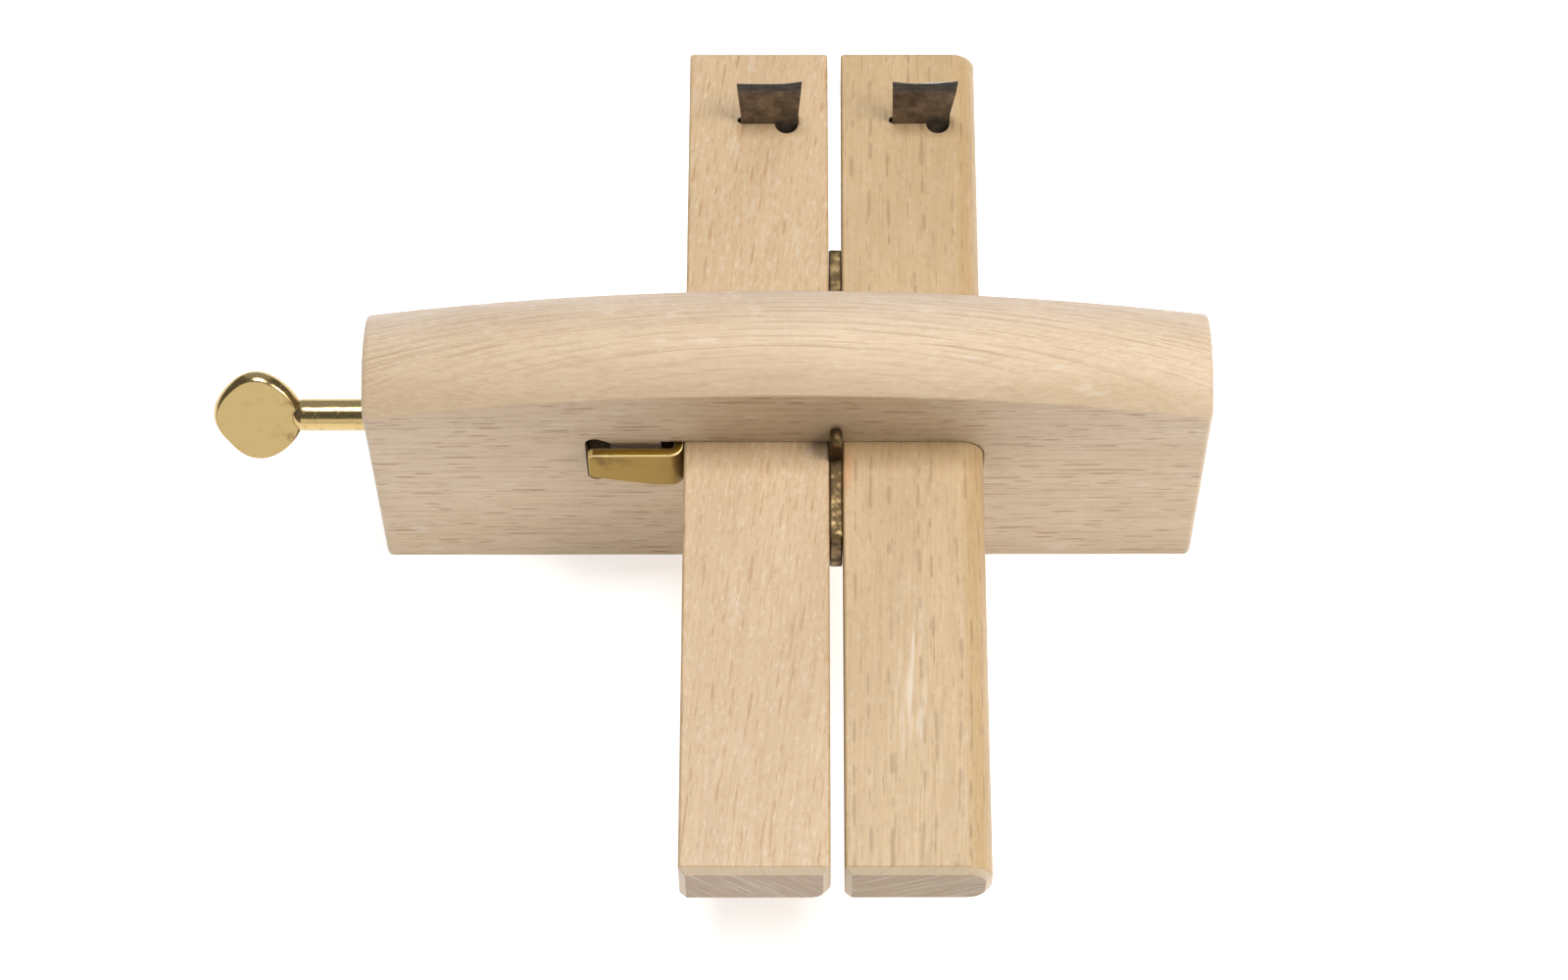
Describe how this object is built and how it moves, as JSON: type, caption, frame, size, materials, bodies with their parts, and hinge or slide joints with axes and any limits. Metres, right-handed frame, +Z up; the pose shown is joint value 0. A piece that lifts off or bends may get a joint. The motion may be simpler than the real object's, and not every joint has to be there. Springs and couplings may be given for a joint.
{
  "type": "marking gauge",
  "caption": "Two-beam mortise marking gauge: a crowned wooden fence slides on two wooden beams with knife ends and is clamped by a brass thumb screw.",
  "frame": {"origin": "centre of the fence's flat bottom face", "axes": "+X along the fence, with the thumb screw at the -X end; +Y along the beams, towards the knives; +Z up, out of the fence's crowned top"},
  "size_m": [0.1428, 0.1334, 0.052],
  "materials": {
    "fence_oak": "planed and lightly sanded oak, unfinished",
    "left_beam_oak": "planed oak, unfinished, few pores",
    "right_beam_oak": "planed oak, unfinished, open pores and ray fleck",
    "plate_brass": "dull, hammered and tarnished",
    "shoe_brass": "bent sheet, lightly tarnished",
    "screw_brass": "polished",
    "knife_steel": "dark forged surface with a ground cutting edge"
  },
  "bodies": {
    "fence": {"fence": "fence_oak", "separator_plate": "plate_brass", "screw_nut": "screw_brass"},
    "beam_left": {"beam_left": "left_beam_oak"},
    "beam_right": {"beam_right": "right_beam_oak"},
    "blade_left": {"blade_left": "knife_steel"},
    "blade_right": {"blade_right": "knife_steel"},
    "clamp_shoe": {"clamp_shoe": "shoe_brass"},
    "thumb_screw": {"thumb_screw": "screw_brass"}
  },
  "joints": [
    {"name": "left_beam_slide", "type": "slide", "parent": "fence", "child": "beam_left", "axis": [0, 1, 0], "range_m": [-0.034, 0.055]},
    {"name": "right_beam_slide", "type": "slide", "parent": "fence", "child": "beam_right", "axis": [0, 1, 0], "range_m": [-0.034, 0.055]},
    {"name": "left_knife_depth", "type": "slide", "parent": "beam_left", "child": "blade_left", "axis": [0, 0, 1], "range_m": [-0.002, 0.003]},
    {"name": "right_knife_depth", "type": "slide", "parent": "beam_right", "child": "blade_right", "axis": [0, 0, 1], "range_m": [-0.002, 0.003]},
    {"name": "shoe_slide", "type": "slide", "parent": "fence", "child": "clamp_shoe", "axis": [1, 0, 0], "range_m": [-0.0012, 0]},
    {"name": "screw_turn", "type": "hinge", "parent": "clamp_shoe", "child": "thumb_screw", "pos_m": [-0.06, -0.0012, 0.02975], "axis": [1, 0, 0], "range_deg": [-540, 0]}
  ],
  "couplings": [
    {"joint": "screw_turn", "follows": "shoe_slide", "rad_per_m": 7854}
  ]
}
